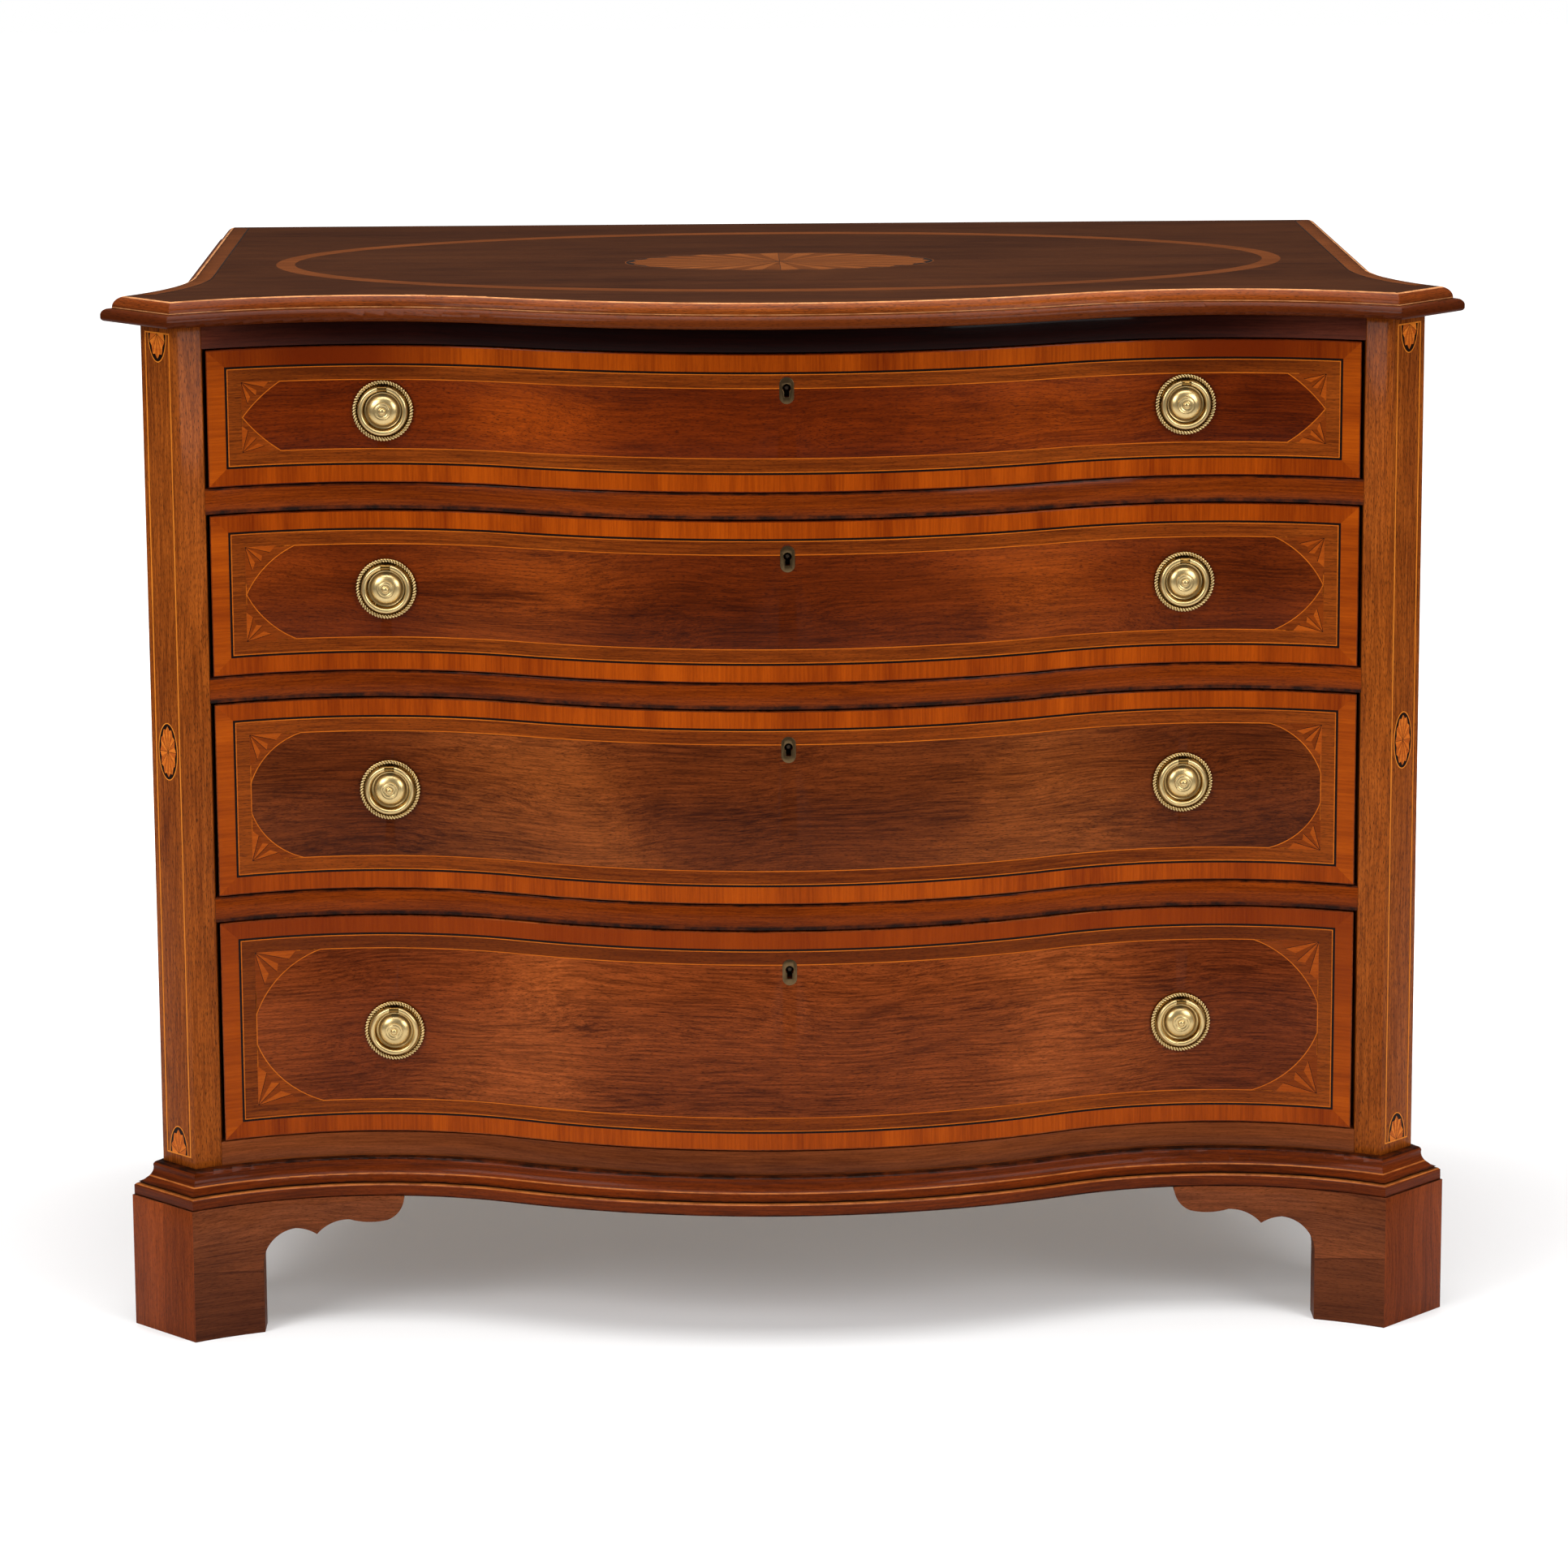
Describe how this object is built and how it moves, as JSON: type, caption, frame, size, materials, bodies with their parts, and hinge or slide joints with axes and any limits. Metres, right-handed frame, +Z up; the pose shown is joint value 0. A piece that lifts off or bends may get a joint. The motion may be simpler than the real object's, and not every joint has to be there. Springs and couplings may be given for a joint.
{
  "type": "chest of drawers",
  "caption": "Serpentine-fronted chest with graduated drawers that slide out, ring pulls, drawer locks, canted corner posts, a moulded top and base, and bracket feet.",
  "frame": {"origin": "on the floor, at the middle of the bounding box of the whole chest", "axes": "+X to the right as seen by someone who faces the drawers, +Y from the front to the back, +Z up"},
  "size_m": [1.1204, 0.6054, 0.874],
  "materials": {
    "mahogany": "figured mahogany veneer, french polished",
    "lining_wood": "plain oak, waxed",
    "carcase_pine": "bare pine, aged",
    "brass": "stamped brass, softly polished with age in the recesses"
  },
  "bodies": {
    "case": {"top_board": "mahogany", "top_rail": "mahogany", "rail_upper": "mahogany", "rail_middle": "mahogany", "rail_lower": "mahogany", "bottom_rail": "mahogany", "corner_post_right": "mahogany", "corner_post_left": "mahogany", "side_panel_right": "mahogany", "side_panel_left": "mahogany", "foot_front_right": "mahogany", "foot_front_left": "mahogany", "foot_back_right": "mahogany", "foot_back_left": "mahogany", "back_boards": "carcase_pine", "runners": "carcase_pine", "dust_boards": "carcase_pine", "drawer_stops": "carcase_pine", "base_moulding": "mahogany", "glue_blocks": "carcase_pine"},
    "drawer_1": {"drawer_1_front": "mahogany", "drawer_1_sides": "lining_wood", "drawer_1_back": "lining_wood", "drawer_1_bottom": "lining_wood", "drawer_1_escutcheon": "brass", "drawer_1_lock_case": "brass", "drawer_1_pull_plates": "brass"},
    "lock_bolt_1": {"drawer_1_lock_bolt": "brass"},
    "ring_right_1": {"drawer_1_ring_right": "brass"},
    "ring_left_1": {"drawer_1_ring_left": "brass"},
    "drawer_2": {"drawer_2_front": "mahogany", "drawer_2_sides": "lining_wood", "drawer_2_back": "lining_wood", "drawer_2_bottom": "lining_wood", "drawer_2_escutcheon": "brass", "drawer_2_lock_case": "brass", "drawer_2_pull_plates": "brass"},
    "lock_bolt_2": {"drawer_2_lock_bolt": "brass"},
    "ring_right_2": {"drawer_2_ring_right": "brass"},
    "ring_left_2": {"drawer_2_ring_left": "brass"},
    "drawer_3": {"drawer_3_front": "mahogany", "drawer_3_sides": "lining_wood", "drawer_3_back": "lining_wood", "drawer_3_bottom": "lining_wood", "drawer_3_escutcheon": "brass", "drawer_3_lock_case": "brass", "drawer_3_pull_plates": "brass"},
    "lock_bolt_3": {"drawer_3_lock_bolt": "brass"},
    "ring_right_3": {"drawer_3_ring_right": "brass"},
    "ring_left_3": {"drawer_3_ring_left": "brass"},
    "drawer_4": {"drawer_4_front": "mahogany", "drawer_4_sides": "lining_wood", "drawer_4_back": "lining_wood", "drawer_4_bottom": "lining_wood", "drawer_4_escutcheon": "brass", "drawer_4_lock_case": "brass", "drawer_4_pull_plates": "brass"},
    "lock_bolt_4": {"drawer_4_lock_bolt": "brass"},
    "ring_right_4": {"drawer_4_ring_right": "brass"},
    "ring_left_4": {"drawer_4_ring_left": "brass"}
  },
  "joints": [
    {"name": "drawer_1_slide", "type": "slide", "parent": "case", "child": "drawer_1", "axis": [0, -1, 0], "range_m": [0, 0.4]},
    {"name": "lock_bolt_1_lift", "type": "slide", "parent": "drawer_1", "child": "lock_bolt_1", "axis": [0, 0, 1], "range_m": [0, 0.007]},
    {"name": "ring_right_1_swing", "type": "hinge", "parent": "drawer_1", "child": "ring_right_1", "pos_m": [0.33136, -0.2075, 0.79512], "axis": [-0.9982, -0.0603, 0], "range_deg": [0, 160]},
    {"name": "ring_left_1_swing", "type": "hinge", "parent": "drawer_1", "child": "ring_left_1", "pos_m": [-0.33136, -0.2075, 0.79512], "axis": [-0.9982, 0.0603, 0], "range_deg": [0, 160]},
    {"name": "drawer_2_slide", "type": "slide", "parent": "case", "child": "drawer_2", "axis": [0, -1, 0], "range_m": [0, 0.4]},
    {"name": "lock_bolt_2_lift", "type": "slide", "parent": "drawer_2", "child": "lock_bolt_2", "axis": [0, 0, 1], "range_m": [0, 0.007]},
    {"name": "ring_right_2_swing", "type": "hinge", "parent": "drawer_2", "child": "ring_right_2", "pos_m": [0.33136, -0.2075, 0.64628], "axis": [-0.9982, -0.0603, 0], "range_deg": [0, 160]},
    {"name": "ring_left_2_swing", "type": "hinge", "parent": "drawer_2", "child": "ring_left_2", "pos_m": [-0.33136, -0.2075, 0.64628], "axis": [-0.9982, 0.0603, 0], "range_deg": [0, 160]},
    {"name": "drawer_3_slide", "type": "slide", "parent": "case", "child": "drawer_3", "axis": [0, -1, 0], "range_m": [0, 0.4]},
    {"name": "lock_bolt_3_lift", "type": "slide", "parent": "drawer_3", "child": "lock_bolt_3", "axis": [0, 0, 1], "range_m": [0, 0.007]},
    {"name": "ring_right_3_swing", "type": "hinge", "parent": "drawer_3", "child": "ring_right_3", "pos_m": [0.33136, -0.2075, 0.47592], "axis": [-0.9982, -0.0603, 0], "range_deg": [0, 160]},
    {"name": "ring_left_3_swing", "type": "hinge", "parent": "drawer_3", "child": "ring_left_3", "pos_m": [-0.33136, -0.2075, 0.47592], "axis": [-0.9982, 0.0603, 0], "range_deg": [0, 160]},
    {"name": "drawer_4_slide", "type": "slide", "parent": "case", "child": "drawer_4", "axis": [0, -1, 0], "range_m": [0, 0.4]},
    {"name": "lock_bolt_4_lift", "type": "slide", "parent": "drawer_4", "child": "lock_bolt_4", "axis": [0, 0, 1], "range_m": [0, 0.007]},
    {"name": "ring_right_4_swing", "type": "hinge", "parent": "drawer_4", "child": "ring_right_4", "pos_m": [0.33136, -0.2075, 0.26872], "axis": [-0.9982, -0.0603, 0], "range_deg": [0, 160]},
    {"name": "ring_left_4_swing", "type": "hinge", "parent": "drawer_4", "child": "ring_left_4", "pos_m": [-0.33136, -0.2075, 0.26872], "axis": [-0.9982, 0.0603, 0], "range_deg": [0, 160]}
  ]
}
